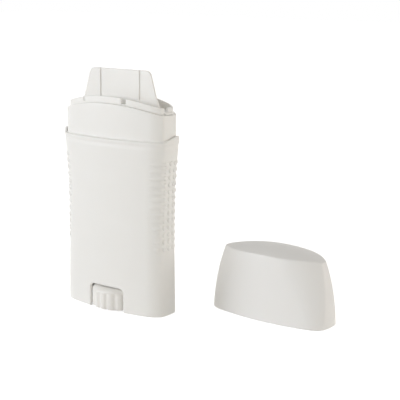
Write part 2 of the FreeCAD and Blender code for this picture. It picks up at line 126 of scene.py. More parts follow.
class CaseSizes(bpy.types.PropertyGroup):
    """The case: skirt, barrel, shoulder and neck."""
    base: plan_size("Base", "Where it stands", (63.0 * MM, 24.8 * MM))
    waist: plan_size("Waist", "At its slimmest", (61.8 * MM, 24.0 * MM))
    waist_z: length("Waist height", "Height of the slimmest section", 46.0 * MM)
    shoulder: plan_size("Shoulder", "The ledge that the cap closes on", (67.0 * MM, 26.6 * MM))
    shoulder_z: length("Shoulder height", "Height of that ledge", 87.8 * MM)
    flare: FloatProperty(name="Flare", description="How late the sides spread towards the shoulder",
                         default=2.6, min=1.0)
    foot_edge: length("Foot edge", "Rounding of the standing rim", 0.5 * MM)
    shoulder_edge: length("Shoulder edge", "Rounding of the ledge's outer edge", 0.7 * MM)
    end_rise: length("End rise", "How far the ledge's outer edge rises at the two ends", 2.4 * MM)
    rise_half: length("Rise width", "Half the width of that rise", 6.4 * MM)
    rise_ramp: length("Rise ramp", "Length over which it comes up", 9.0 * MM)
    rise_step: length("Rise step", "Length over which it drops at the far corner", 0.9 * MM)
    rise_wall: length("Rise wall", "Thickness of the raised edge", 1.1 * MM)
    hollow: length("Hollow", "Depth of the hollow round the wall under the ledge", 0.3 * MM)
    hollow_height: length("Hollow height", "Height of that hollow with the ledge's edge", 5.0 * MM)
    hollow_bias: FloatProperty(name="Hollow bias", description="How near the ledge the hollow is deepest",
                               default=1.6, min=1.0)
    neck_inset: length("Ledge width", "How far the neck stands back from the shoulder", 1.7 * MM)
    neck_root: length("Neck root", "Hollow rounding where the neck meets the ledge", 0.5 * MM)
    rim_top: length("Rim height", "Height of the rim at its middle", CASE_HIGH.z)
    rim_radius: length("Rim arch", "Radius of the rim's arch", 112.0 * MM)
    rim_edge: length("Rim edge", "Rounding of the rim's outer edge", 0.45 * MM)
    bore_edge: length("Bore edge", "Rounding of the rim's inner edge", 0.25 * MM)
    neck_wall: length("Neck wall", "Wall thickness at the rim", 1.35 * MM)
    seat_floor: length("Seat floor", "Height of the step under the seal", SEAL_LOW.z - 1.0 * MM)
    bore_inset: plan_size("Bore inset", "Step from seat to bore at an end and a face", (0.8 * MM, 0.3 * MM))
    floor_z: length("Floor", "Underside of the floor over the dial", 12.6 * MM)
    floor_top: length("Floor top", "Upper side of that floor", 14.2 * MM)
    floor_corner: length("Floor corner", "Hollow rounding round that floor", 1.0 * MM)
    collar_radius: length("Collar radius", "Outside of the collar round the journal", 6.4 * MM)
    collar_top: length("Collar top", "Height of the collar", 17.2 * MM)
    journal_hole: length("Journal hole", "Radius of the hole in the collar", 4.48 * MM)
    skirt_wall: length("Skirt wall", "Wall round the dial", 1.6 * MM)
    skirt_lead: length("Skirt lead", "Bevel inside the standing rim", 0.2 * MM)
    wall_rows: IntProperty(name="Wall rows", description="Rows of quads up the wall", default=44)


class WindowSizes(bpy.types.PropertyGroup):
    """The two windows through which the dial is turned."""
    width: length("Width", "Clear width", 21.6 * MM)
    top: length("Top", "Height of the upper edge", 12.1 * MM)
    corner: length("Corner", "Radius of the upper corners", 2.5 * MM)
    edge: length("Edge", "Rounding of the outer edge", 0.9 * MM)


class GripSizes(bpy.types.PropertyGroup):
    """Moulded grip on the narrow ends."""
    rows: IntProperty(name="Rows", description="Bumps in a column, and ribs on a corner", default=13)
    pitch: length("Pitch", "Height from one row to the next", 3.55 * MM)
    low: length("Lowest row", "Height of the lowest row", 34.5 * MM)
    columns: IntProperty(name="Columns", description="Columns of bumps on an end", default=3)
    column_gap: length("Column gap", "Distance between columns", 3.4 * MM)
    bump_radius: length("Bump radius", "Half the size of a bump", 1.3 * MM)
    bump_height: length("Bump height", "How far a bump stands out", 0.6 * MM)
    rib_radius: length("Rib radius", "Half the height of a rib", 1.2 * MM)
    rib_height: length("Rib height", "How far a rib stands out", 0.45 * MM)
    rib_facing: angle("Rib facing", "Direction of a rib's middle, from the end face", 50.0)
    rib_reach: length("Rib reach", "Half the length of the upper ribs", 4.2 * MM)
    rib_least: share("Lowest rib", "Length of the lowest rib against the upper ones", 0.35)
    rib_growth: FloatProperty(name="Rib growth", description="How soon the ribs reach their full length",
                              default=1.6, min=1.0)


class DialSizes(bpy.types.PropertyGroup):
    """The hand wheel with its spindle."""
    radius: length("Radius", "Radius of the wheel", DIAL_HIGH.x)
    bottom: length("Bottom", "Height of the underside", DIAL_LOW.z)
    top: length("Top", "Height of the upper face", 11.7 * MM)
    shoulder: length("Shoulder", "Rounding of the upper edge", 3.2 * MM)
    wall: length("Wall", "Thickness of its moulded wall", 1.5 * MM)
    hub: length("Hub", "Radius of the hub underneath", 4.8 * MM)
    flutes: IntProperty(name="Flutes", description="Flutes round the rim", default=20)
    flute_depth: length("Flute depth", "Depth of a flute", 0.6 * MM)
    flute_share: share("Flute share", "Half a flute's width against the space from one to the next", 0.38)
    hollow: length("Hollow", "Inside corner of the hollow underneath", 3.2 * MM)
    thrust_radius: length("Thrust radius", "Raised face under the floor", 8.0 * MM)
    thrust_top: length("Thrust top", "Height of that face", 12.3 * MM)
    journal: length("Journal", "Radius in the collar", 4.4 * MM)
    snap_z: length("Snap height", "Underside of the snap ring", 17.5 * MM)
    snap_radius: length("Snap radius", "Radius of the snap ring", 5.0 * MM)
    snap_height: length("Snap depth", "Height of the snap ring", 1.6 * MM)
    core: length("Core", "Radius between the threads", 2.6 * MM)
    crest: length("Crest", "Radius over the threads", 3.4 * MM)
    lead: length("Lead", "Rise of the platform in one turn", 4.0 * MM)
    thread_foot: length("Thread foot", "Width of the thread at its foot", 1.6 * MM)
    thread_crest: length("Thread crest", "Width of the thread at its crest", 0.7 * MM)
    point: length("Point", "Bevel of the spindle's end", 0.8 * MM)
    tip: length("Tip", "Height of the spindle's end", DIAL_HIGH.z)


class PlatformSizes(bpy.types.PropertyGroup):
    """The platform under the product."""
    clearance: length("Clearance", "Gap to the bore", 0.35 * MM)
    wall: length("Wall", "Thickness of its rim", 1.2 * MM)
    low: length("Bottom", "Height of the rim's lower edge", 19.4 * MM)
    high: length("Rim height", "Height of the rim's upper edge", 24.8 * MM)
    plate: length("Plate", "Height of the plate's underside", 21.0 * MM)
    thickness: length("Thickness", "Thickness of the plate", 1.4 * MM)
    hub: length("Hub", "Radius of the hub", 4.98 * MM)
    hub_top: length("Hub top", "Height of the hub", 30.0 * MM)
    rib: length("Rib", "Thickness of the ribs that key into the product", 1.2 * MM)
    rib_top: length("Rib top", "Height of those ribs", 25.5 * MM)
    rib_place: length("Rib place", "Distance of the outer cross ribs from the middle", 14.4 * MM)
    rib_side: length("Cross rib", "Half the length of a cross rib", 7.2 * MM)
    hole: length("Hole", "Radius of the hole for the spindle", 3.48 * MM)


class SealSizes(bpy.types.PropertyGroup):
    """The inner seal with its pull tab."""
    low: length("Bottom", "Height of the plug's lower edge", SEAL_LOW.z)
    clearance: length("Clearance", "Gap to the case's wall", 0.15 * MM)
    wall: length("Wall", "Thickness of the lip", 1.1 * MM)
    lip: length("Lip", "Lip above the rim", 3.3 * MM)
    lip_arch: length("Lip arch", "Radius of the lip's arch", 105.0 * MM)
    lip_edge: length("Lip edge", "Rounding of the lip", 0.35 * MM)
    lip_root: length("Lip root", "Hollow rounding where the lip meets the dome", 0.6 * MM)
    lead_in: length("Lead-in", "Bevel of the plug's lower edge", 0.3 * MM)
    dome: length("Dome", "Dome above the rim", 1.2 * MM)
    dome_radius: length("Dome radius", "Crown from front to back", 15.0 * MM)
    thickness: length("Thickness", "Thickness of the dome", 1.2 * MM)
    spine: length("Spine", "Half the length of the dome's middle line", 20.0 * MM)
    tab_top: length("Tab top", "Height of the tab", SEAL_HIGH.z)
    tab_top_width: length("Tab top width", "Width of the tab at its top", 38.4 * MM)
    tab_foot_width: length("Tab foot width", "Width of the tab at its foot", 49.7 * MM)
    tab_foot: length("Tab foot", "Height of the tab's foot", 101.59 * MM)
    tab_thickness: length("Tab thickness", "Thickness of the tab", 1.2 * MM)
    tab_corner: length("Tab corner", "Radius of the tab's corners", 2.4 * MM)
    tab_edge: length("Tab edge", "Rounding of the tab's edges", 0.3 * MM)
    tab_root: length("Tab root", "Hollow rounding at the tab's foot", 2.0 * MM)
    rib_x: length("Rib place", "Distance of a rib from the middle", 12.6 * MM)
    rib_width: length("Rib width", "Width of a rib", 1.0 * MM)
    rib_proud: length("Rib height", "How far a rib stands out", 0.55 * MM)
    rib_edge: length("Rib edge", "Rounding of a rib", 0.45 * MM)
    notch: notch_size("Notch", "The wide notch", (10.0 * MM, 3.0 * MM, 2.8 * MM))
    slit: notch_size("Slit", "The narrow notch", (-15.8 * MM, 1.6 * MM, 2.2 * MM))
    end_notch: notch_size("End notch", "The notch at an end", (1.6 * MM, 2.6 * MM, 2.2 * MM))
    lug_width: length("Lug width", "Width of an end lug", 6.0 * MM)
    lug_height: length("Lug height", "Height of an end lug", 1.0 * MM)
    lug_reach: length("Lug reach", "How far a lug reaches over the rim", SEAL_HIGH.x)
    lug_gap: length("Lug gap", "Gap between a lug and the rim", 0.1 * MM)


class CapSizes(bpy.types.PropertyGroup):
    """The deep cap, with the shoulder's plan at its open end."""
    turn: angle("Turn", "How it stands to the case", -2.0)
    height: length("Height", "Height at the crown", CAP_HIGH.z)
    wall: length("Wall", "Wall thickness", 1.0 * MM)
    overhang: length("Overhang", "How far the open end stands past the shoulder", 0.2 * MM)
    end_lean: length("End lean", "How far each end leans in at the top", 6.5 * MM)
    lean_power: FloatProperty(name="Lean power", description="How late the ends lean in", default=2.3,
                              min=1.0)
    face_lean: length("Face lean", "How far each face leans in", 0.3 * MM)
    top_end_part: share("Top end part", "Width of an end against the depth, at the top", 0.12)
    top_bend: length("Top bend", "Radius by which a face turns in, at the top", 33.0 * MM)
    crown_x: length("Crown along", "Crown radius from end to end", 104.0 * MM)
    crown_y: length("Crown across", "Crown radius from front to back", 36.0 * MM)
    foot_edge: length("Foot edge", "Rounding of the open end", 0.6 * MM)
    top_edge: length("Top edge", "Rounding round the crown", 0.55 * MM)
    spine: length("Spine", "Half the length of the crown's middle line", 22.0 * MM)


class FinishColours(bpy.types.PropertyGroup):
    """White polypropylene of each moulding."""
    case: hex_colour("Case", "Case and seal", "#EFEEEB")
    cap: hex_colour("Cap", "Cap", "#EFEEEC")
    dial: hex_colour("Dial", "Dial and platform", "#EDEBE7")
    floor: hex_colour("Floor", "Table top", "#F2F2F2")


class StageSizes(bpy.types.PropertyGroup):
    """Floor, light and camera."""
    azimuth: angle("Azimuth", "Camera's turn to the right of the front", 35.98)
    elevation: angle("Elevation", "Camera's height above level", 11.65)
    roll: angle("Roll", "Camera's tilt", 0.59)
    distance: length("Distance", "Camera to the point it aims at", 0.5405)
    aim: point("Aim", "Point at the middle of the view", (26.066 * MM, 32.428 * MM, 53.001 * MM))
    lens: FloatProperty(name="Lens", description="Focal length on a 36 mm sensor, in mm", default=93.9)
    floor: length("Floor", "Size of the floor", 8.0)
    floor_glow: share("Floor glow", "Glow that the camera sees on the floor, and that lights nothing", 0.75)
    window_size: length("Window size", "Side of the lamp at the left", 1.2)
    window_power: power("Window power", "Power of the lamp at the left", 13.1)
    window_colour: light_colour("Window colour", "Colour of the lamp at the left", (0.86, 0.91, 1.0))
    window_place: point("Window place", "Place of the lamp at the left", (-0.955, -1.261, 0.4))
    wall_size: length("Wall size", "Side of the lamp at the right", 1.0)
    wall_power: power("Wall power", "Power of the lamp at the right", 5.0)
    wall_colour: light_colour("Wall colour", "Colour of the lamp at the right", (1.0, 0.955, 0.935))
    wall_place: point("Wall place", "Place of the lamp at the right", (1.329, 0.75, 0.4))
    light_aim: point("Light aim", "Point that both lamps face", (0.03, 0.01, 0.05))
    fill: FloatProperty(name="Fill", description="Strength of the room's light from above", default=1.33)
    fill_colour: light_colour("Fill colour", "Colour of the room's light", (1.0, 0.963, 0.89))


# ---- meshes ----------------------------------------------------------------------------------------

def arc(centre, radius, start, stop, steps):
    """Points of an arc, without its last one."""
    turns = [start + (stop - start) * i / steps for i in range(steps)]
    return [(centre[0] + radius * math.cos(t), centre[1] + radius * math.sin(t)) for t in turns]


def all_round(quarter):
    """A closed outline, anticlockwise, from its points between +X and +Y."""
    second = [(-x, y) for x, y in reversed(quarter[:-1])]
    third = [(-x, -y) for x, y in quarter[1:]]
    return quarter + second + third + [(x, -y) for x, y in reversed(quarter[1:-1])]


def meeting(one, one_radius, other, other_radius):
    """Where two circles meet, on the right hand of the way from one centre to the other."""
    apart = (other - one).length
    along = (one_radius ** 2 - other_radius ** 2 + apart ** 2) / (2 * apart)
    aside = math.sqrt(one_radius ** 2 - along ** 2)
    way = (other - one) / apart
    return one + way * along + Vector((way.y, -way.x)) * aside


def plan_centres(width, depth, end_part=None, bend_radius=None):
    """Centres of the arcs that make a quarter of the plan: the face, the bend and the end."""
    plan = bpy.context.scene.container_plan
    end_y = depth / 2 * (plan.end_part if end_part is None else end_part)
    face = Vector((0.0, depth / 2 - plan.long_radius))
    end = Vector((width / 2 - plan.end_radius, 0.0))
    corner = end + Vector((math.sqrt(plan.end_radius ** 2 - end_y ** 2), end_y))
    bend_radius = bend_radius or plan.bend_radius
    bend = meeting(corner, bend_radius, face, plan.long_radius - bend_radius)
    return face, bend, end


def oval(width, depth, inset=0.0, end_part=None, bend_radius=None):
    """The container's plan: wide faces that bend in to narrow ends, with a small rounding between."""
    plan = bpy.context.scene.container_plan
    face, bend, end = plan_centres(width, depth, end_part, bend_radius)
    long_r, bend_r, end_r = (r - inset for r in (plan.long_radius, bend_radius or plan.bend_radius,
                                                 plan.end_radius))
    corner = meeting(end, end_r, bend, bend_r)
    if corner.y < 0.0:    # of the two crossings, the other is the one in this quarter
        corner = meeting(bend, bend_r, end, end_r)
    end_turn = math.atan2(corner.y - end.y, corner.x - end.x) - plan.corner_reach / end_r
    bend_turn = math.atan2(corner.y - bend.y, corner.x - bend.x) + plan.corner_reach / bend_r
    long_turn = math.atan2(bend.y - face.y, bend.x - face.x)
    start = end + Vector((math.cos(end_turn), math.sin(end_turn))) * end_r
    stop = bend + Vector((math.cos(bend_turn), math.sin(bend_turn))) * bend_r
    quarter = arc(end, end_r, 0.0, end_turn, END_STEPS)
    for i in range(CORNER_STEPS):
        part = i / CORNER_STEPS
        quarter.append(tuple(start * (1 - part) ** 2 + corner * 2 * part * (1 - part) + stop * part ** 2))
    quarter += arc(bend, bend_r, bend_turn, long_turn, BEND_STEPS)
    quarter += arc(face, long_r, long_turn, math.pi / 2, LONG_STEPS)
    return all_round(quarter + [(0.0, depth / 2 - inset)])


def slab(half_width, half_depth, corner):
    """A long flat outline with rounded corners, point for point like an oval."""
    straight = [(half_width, (half_depth - corner) * i / END_STEPS) for i in range(END_STEPS)]
    bend = arc((half_width - corner, half_depth - corner), corner, 0.0, math.pi / 2,
               CORNER_STEPS + BEND_STEPS)
    face = [((half_width - corner) * (1 - i / LONG_STEPS), half_depth) for i in range(LONG_STEPS + 1)]
    return all_round(straight + bend + face)


def circle(radius, count):
    return [(radius * math.cos(2 * math.pi * i / count), radius * math.sin(2 * math.pi * i / count))
            for i in range(count)]


def between(one, other, part):
    """An outline part of the way from one to another."""
    return [(a[0] + (b[0] - a[0]) * part, a[1] + (b[1] - a[1]) * part) for a, b in zip(one, other)]


def spine(outline, reach):
    """The outline pressed flat onto the X axis, reach long each way."""
    half = max(x for x, _ in outline)
    return [(x * reach / half, 0.0) for x, _ in outline]


def at(outline, height):
    """A ring of points: an outline at a height, which is a number or a function of x and y."""
    return [(x, y, height(x, y) if callable(height) else height) for x, y in outline]


def rounding(radius, steps=4):
    """(inward, below the face) of a rounded edge's points, from the wall to the face."""
    turns = [math.pi / 2 * i / steps for i in range(steps + 1)]
    return [(radius * (1 - math.cos(t)), radius * (1 - math.sin(t))) for t in turns]


def steps_between(low, high, count):
    return [low + (high - low) * i / count for i in range(count + 1)]


def arched(top, radius):
    """Height of a surface arched along X."""
    return lambda x, y: top - radius + math.sqrt(radius ** 2 - x ** 2)


def crowned(top, along, across):
    """Height of a surface crowned both ways."""
    hinge = top - along

    def height(x, y):
        reach = top - across + math.sqrt(across ** 2 - y ** 2) - hinge
        return hinge + math.sqrt(reach ** 2 - x ** 2)
    return height


def shifted(height, by):
    """A height, which is a number or a function of x and y, moved up."""
    return (lambda x, y: height(x, y) + by) if callable(height) else height + by


def rolled(size, inset, height, radius, out=1, up=-1, steps=4):
    """Rings of a rounded edge, from the wall to the face."""
    return [at(oval(*size, inset + out * cut), shifted(height, up * below))
            for cut, below in rounding(radius, steps)]


def skin(rings, loop=False):
    """Quads from ring to ring; a loop also joins the last ring to the first."""
    count = len(rings[0])
    points = [p for ring in rings for p in ring]
    faces = []
    for i in range(len(rings) if loop else len(rings) - 1):
        a, b = i * count, (i + 1) % len(rings) * count
        faces += [(a + j, a + (j + 1) % count, b + (j + 1) % count, b + j) for j in range(count)]
    return points, faces


def rounded_box(low, high, radius):
    """Points and faces of a box with rounded edges."""
    low, high, steps = Vector(low), Vector(high), 3
    bm = bmesh.new()
    bmesh.ops.create_cube(bm, size=1.0)
    for v in bm.verts:
        v.co = Vector([low[i] + (high[i] - low[i]) * (v.co[i] + 0.5) for i in range(3)])
    bmesh.ops.bevel(bm, geom=bm.edges[:], offset=radius, segments=steps, profile=0.5, affect="EDGES")
    bm.verts.index_update()
    points = [tuple(v.co) for v in bm.verts]
    faces = [tuple(v.index for v in f.verts) for f in bm.faces]
    bm.free()
    return points, faces


def new_piece(name, parts, place=None):
    """One smooth-shaded mesh object from lists of points and faces."""
    points, faces = [], []
    for more_points, more_faces in parts:
        start = len(points)
        points += more_points
        faces += [tuple(start + i for i in face) for face in more_faces]
    mesh = bpy.data.meshes.new(name)
    mesh.from_pydata(points, [], faces)
    bm = bmesh.new()
    bm.from_mesh(mesh)
    bmesh.ops.remove_doubles(bm, verts=bm.verts[:], dist=0.0005 * MM)
    bmesh.ops.dissolve_degenerate(bm, edges=bm.edges[:], dist=0.0005 * MM)
    if place is not None:
        bm.transform(place)
    bm.to_mesh(mesh)
    bm.free()
    piece = bpy.data.objects.new(name, mesh)
    bpy.context.scene.collection.objects.link(piece)
    return piece


def settle(piece):
    """Turns the modifiers into plain mesh and smooths all but the sharp edges."""
    sharp = math.radians(40)
    bpy.context.view_layer.update()
    shaped = piece.evaluated_get(bpy.context.evaluated_depsgraph_get())
    old = piece.data
    piece.data = bpy.data.meshes.new_from_object(shaped)
    piece.modifiers.clear()
    bpy.data.meshes.remove(old)
    piece.data.name = piece.name
    piece.data.shade_smooth()
    piece.data.set_sharp_from_angle(angle=sharp)


def carve(piece, cutters):
    """Cuts each cutter's shape out of the piece."""
    for cutter in cutters:
        cut = piece.modifiers.new("Cut", "BOOLEAN")
        cut.operation = "DIFFERENCE"
        cut.solver = "EXACT"
        cut.object = cutter
    settle(piece)
    for cutter in cutters:
        mesh = cutter.data
        bpy.data.objects.remove(cutter)
        bpy.data.meshes.remove(mesh)


def finish_piece(piece, body, slot, material, *nodes):
    """Gives a piece its material, and ties it to its body and the nodes it stands for; the slot is not used.
    """
    piece.data.materials.clear()
    piece.data.materials.append(material)
    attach(piece, body)
    if nodes:
        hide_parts(*nodes)


# ---- materials -------------------------------------------------------------------------------------

def linear(hex_code):
    """Linear colour of an sRGB hex code."""
    parts = [int(hex_code[i:i + 2], 16) / 255 for i in (1, 3, 5)]
    return [c / 12.92 if c <= 0.04045 else ((c + 0.055) / 1.055) ** 2.4 for c in parts] + [1.0]


def add_node(tree, kind, inputs=None, **settings):
    """Adds a node, sets it up, and links or sets its inputs."""
    node = tree.nodes.new(kind)
    for key, value in settings.items():
        setattr(node, key, value)
    for socket, value in (inputs or {}).items():
        if isinstance(value, bpy.types.NodeSocket):
            tree.links.new(value, node.inputs[socket])
        else:
            node.inputs[socket].default_value = value
    return node


def polypropylene(name, colour, gloss=0.36):
    """White polypropylene as moulded: faint mottle, fine grain from the tool, a little light let in."""
    cloud_size, wear_size, grain_size, cloud_white = 14 * MM, 3.5 * MM, 0.35 * MM, 0.975
    material = bpy.data.materials.new(name)
    material.use_nodes = True
    tree = material.node_tree
    tree.nodes.clear()
    place = add_node(tree, "ShaderNodeTexCoord").outputs["Object"]
    mottle = add_node(tree, "ShaderNodeTexNoise",
                      {"Vector": place, "Scale": 1 / cloud_size, "Detail": 2.0})
    white = linear(colour)
    cloudy = [c * cloud_white for c in white[:3]] + [1.0]
    tint = add_node(tree, "ShaderNodeMix", {"Factor": mottle.outputs["Fac"], 6: cloudy, 7: white},
                    data_type="RGBA")
    wear = add_node(tree, "ShaderNodeTexNoise",
                    {"Vector": place, "Scale": 1 / wear_size, "Detail": 4.0, "Roughness": 0.6})
    sheen = add_node(tree, "ShaderNodeMapRange",
                     {"Value": wear.outputs["Fac"], "From Min": 0.3, "From Max": 0.7,
                      "To Min": gloss - 0.05, "To Max": gloss + 0.07})
    grain = add_node(tree, "ShaderNodeTexNoise", {"Vector": place, "Scale": 1 / grain_size, "Detail": 3.0})
    relief = add_node(tree, "ShaderNodeBump",
                      {"Height": grain.outputs["Fac"], "Strength": 0.12, "Distance": 0.02 * MM})
    shader = add_node(tree, "ShaderNodeBsdfPrincipled",
                      {"Base Color": tint.outputs[2], "Roughness": sheen.outputs["Result"],
                       "Normal": relief.outputs["Normal"], "IOR": 1.49, "Subsurface Weight": 0.12,
                       "Subsurface Radius": (1.0, 0.9, 0.8), "Subsurface Scale": 1.2 * MM})
    add_node(tree, "ShaderNodeOutputMaterial", {"Surface": shader.outputs["BSDF"]})
    return material


# ---- the case --------------------------------------------------------------------------------------

def case_size(z):
    """Width and depth of the case's outside: waisted below, spreading fast towards the shoulder."""
    case = bpy.context.scene.container_case
    if z <= case.waist_z:
        part = 0.5 - 0.5 * math.cos(math.pi * z / case.waist_z)
        return between([case.base], [case.waist], part)[0]
    part = ((z - case.waist_z) / (case.shoulder_z - case.waist_z)) ** case.flare
    return between([case.waist], [case.shoulder], part)[0]


def neck_size(case, wall=0.0, extra=(0.0, 0.0)):
    """Width and depth of the neck, or of the bore inside it."""
    inset = case.neck_inset + wall
    return [size - 2 * (inset + more) for size, more in zip(case.shoulder, extra)]


def end_risen(case, level):
    """Height that rises along each narrow end, from one of its corners to the other."""
    def height(x, y):
        along = y if x > 0 else -y
        up = min(1.0, max(0.0, (along + case.rise_half) / case.rise_ramp))
        down = min(1.0, max(0.0, (case.rise_half - along) / case.rise_step))
        return level + case.end_rise * min(up, down)
    return height


def barrel_rings(case):
    """Rings from the foot up the outside and over the ledge to the neck's root."""
    edge = case.shoulder_edge
    rings = [at(oval(*case_size(z), inset), z) for inset, z in reversed(rounding(case.foot_edge))]
    start = case.shoulder_z - case.hollow_height
    for z in steps_between(case.foot_edge, start, case.wall_rows)[1:]:
        rings.append(at(oval(*case_size(z)), z))
    for z in steps_between(start, case.shoulder_z - edge, 10)[1:-1]:
        part = (z - start) / (case.hollow_height - edge)
        inset = case.hollow * math.sin(math.pi * part ** case.hollow_bias) ** 2
        rings.append(at(oval(*case_size(z), inset), z))
    for inset, below in rounding(edge):
        z = case.shoulder_z - below
        rings.append(at(oval(*case_size(z), inset), end_risen(case, z)))
    slant = 0.05 * MM
    rings.append(at(oval(*case.shoulder, case.rise_wall), end_risen(case, case.shoulder_z)))
    rings.append(at(oval(*case.shoulder, case.rise_wall + slant), case.shoulder_z))
    return rings + rolled(neck_size(case), 0.0, case.shoulder_z, case.neck_root, out=-1, up=1, steps=3)[::-1]


def neck_rings(case):
    """Rings from the neck's root over the rim, past the seal's seat and down the bore to the floor."""
    arch = arched(case.rim_top, case.rim_radius)
    low = case.shoulder_z + case.neck_root
    neck = neck_size(case)
    rings = [[(x, y, low + (arch(x, y) - case.rim_edge - low) * part) for x, y in oval(*neck)]
             for part in (0.15, 0.3, 0.45, 0.6, 0.75, 0.88)]
    rings += rolled(neck, 0.0, arch, case.rim_edge)
    seat = neck_size(case, case.neck_wall)
    rings += rolled(seat, 0.0, arch, case.bore_edge, out=-1, steps=3)[::-1]
    bore = neck_size(case, case.neck_wall, case.bore_inset)
    rings += [at(oval(*seat), case.seat_floor), at(oval(*bore), case.seat_floor)]
    for z in steps_between(case.seat_floor, case.floor_top + case.floor_corner, 8)[1:-1]:
        rings.append(at(oval(*bore), z))
    return rings + rolled(bore, 0.0, case.floor_top, case.floor_corner, up=1)


def floor_rings(case, last):
    """Rings from the last one across the floor, round its collar, back underneath and down the skirt."""
    collar, hole = circle(case.collar_radius, len(last)), circle(case.journal_hole, len(last))
    skirt = oval(*case.base, case.skirt_wall)
    rings = [at(between([(x, y) for x, y, _ in last], collar, 0.5), case.floor_top),
             at(collar, case.floor_top), at(collar, case.collar_top), at(hole, case.collar_top),
             at(hole, case.floor_z), at(between(hole, skirt, 0.5), case.floor_z)]
    rings += [at(skirt, z) for z in steps_between(case.floor_z, 0.0, 6)[:-1]]
    return rings + [at(oval(*case.base, case.skirt_wall - case.skirt_lead), 0.0)]


def case_rings(case):
    """Rings from the foot up the outside, over the rim, down the bore and out under the floor."""
    rings = barrel_rings(case) + neck_rings(case)
    return rings + floor_rings(case, rings[-1])


def window_outline(window, grow=0.0):
    """The window's edge, open below, from its right foot over the top to its left foot."""
    half, top, r = window.width / 2 + grow, window.top + grow, window.corner + grow
    below_foot = -4.0 * MM
    right = [(half, z) for z in steps_between(below_foot, top - r, 8)[:-1]]
    corner = arc((half - r, top - r), r, 0.0, math.pi / 2, 8)
    span = steps_between(half - r, 0.0, 6)
    half_way = right + corner + [(x, top) for x in span]
    return half_way + [(-x, z) for x, z in reversed(half_way[:-1])]


def window_cutter(side):
    """Cutter for one window, spreading in a rounded edge where it meets the wall's outer face."""
    window = bpy.context.scene.container_window
    radius = bpy.context.scene.container_plan.long_radius
    inside, beyond = 2.0 * MM, 3.0 * MM

    def face(x, z):
        return case_size(max(z, 0.0))[1] / 2 - radius + math.sqrt(radius ** 2 - x ** 2)

    rings = [[(x, -side * inside, z) for x, z in window_outline(window)]]
    for turn in (4, 12, 24, 38, 54, 72, 90):
        t = math.radians(turn)
        grow, back = window.edge * (1 - math.cos(t)), window.edge * (1 - math.sin(t))
        rings.append([(x, side * (face(x, z) - back), z) for x, z in window_outline(window, grow)])
    rings.append([(x, y + side * beyond, z) for x, y, z in rings[-1]])
    points, faces = skin(rings)
    count = len(rings[0])
    faces = faces + [tuple(range(count)), tuple(range(len(points) - 1, len(points) - count - 1, -1))]
    cutter = new_piece("window_cutter", [(points, faces)])
    bm = bmesh.new()
    bm.from_mesh(cutter.data)
    bmesh.ops.recalc_face_normals(bm, faces=bm.faces[:])
    bm.to_mesh(cutter.data)
    bm.free()
    return cutter


class CONTAINER_OT_case(bpy.types.Operator):
    """Builds the case with its neck and its two dial windows"""
    bl_idname = "container.case"
    bl_label = "Case"

    def execute(self, context):
        shell = new_piece("case_shell", [skin(case_rings(context.scene.container_case), loop=True)])
        carve(shell, [window_cutter(-1), window_cutter(1)])
        white = polypropylene("polypropylene_case", context.scene.container_finish.case)
        finish_piece(shell, "case", "case_white", white, "case")
        return {"FINISHED"}


# ---- grip ------------------------------------------------------------------------------------------

def points_object(name, points, **values):
    """Loose points that carry a named number each."""
    mesh = bpy.data.meshes.new(name)
    mesh.from_pydata(points, [], [])
    for key, numbers in values.items():
        mesh.attributes.new(key, "FLOAT", "POINT").data.foreach_set("value", numbers)
    piece = bpy.data.objects.new(name, mesh)
    bpy.context.scene.collection.objects.link(piece)
    return piece


def new_tree(name, *inputs):
    """A geometry node tree with named number inputs, and its group input."""
    tree = bpy.data.node_groups.new(name, "GeometryNodeTree")
    tree.interface.new_socket("Geometry", in_out="INPUT", socket_type="NodeSocketGeometry")
    for key in inputs:
        tree.interface.new_socket(key, in_out="INPUT", socket_type="NodeSocketFloat")
    tree.interface.new_socket("Material", in_out="INPUT", socket_type="NodeSocketMaterial")
    tree.interface.new_socket("Geometry", in_out="OUTPUT", socket_type="NodeSocketGeometry")
    return tree, add_node(tree, "NodeGroupInput")


def end_tree(tree, source, geometry):
    """Realizes the instances, sets the material and closes the tree, which it returns."""
    real = add_node(tree, "GeometryNodeRealizeInstances", {"Geometry": geometry})
    painted = add_node(tree, "GeometryNodeSetMaterial",
                       {"Geometry": real.outputs["Geometry"], "Material": source.outputs["Material"]})
    add_node(tree, "NodeGroupOutput", {"Geometry": painted.outputs["Geometry"]})
    return tree


def run_tree(piece, tree, material, **inputs):
    """Applies a tree to a piece with these inputs and keeps the plain mesh."""
    modifier = piece.modifiers.new(tree.name, "NODES")
    modifier.node_group = tree
    sockets = {i.name: i.identifier for i in tree.interface.items_tree if i.in_out == "INPUT"}
    for key, value in inputs.items():
        modifier[sockets[key]] = value
    modifier[sockets["Material"]] = material
    settle(piece)


def bump_tree():
    """Low round bumps on the points, flattened along X."""
    tree, source = new_tree("Grip bumps", "Radius", "Height")
    size = source.outputs
    ball = add_node(tree, "GeometryNodeMeshUVSphere", {"Segments": 20, "Rings": 12, "Radius": 1.0})
    scale = add_node(tree, "ShaderNodeCombineXYZ",
                     {"X": size["Height"], "Y": size["Radius"], "Z": size["Radius"]})
    bumps = add_node(tree, "GeometryNodeInstanceOnPoints",
                     {"Points": size["Geometry"], "Instance": ball.outputs["Mesh"],
                      "Scale": scale.outputs["Vector"]})
    return end_tree(tree, source, bumps.outputs["Instances"])


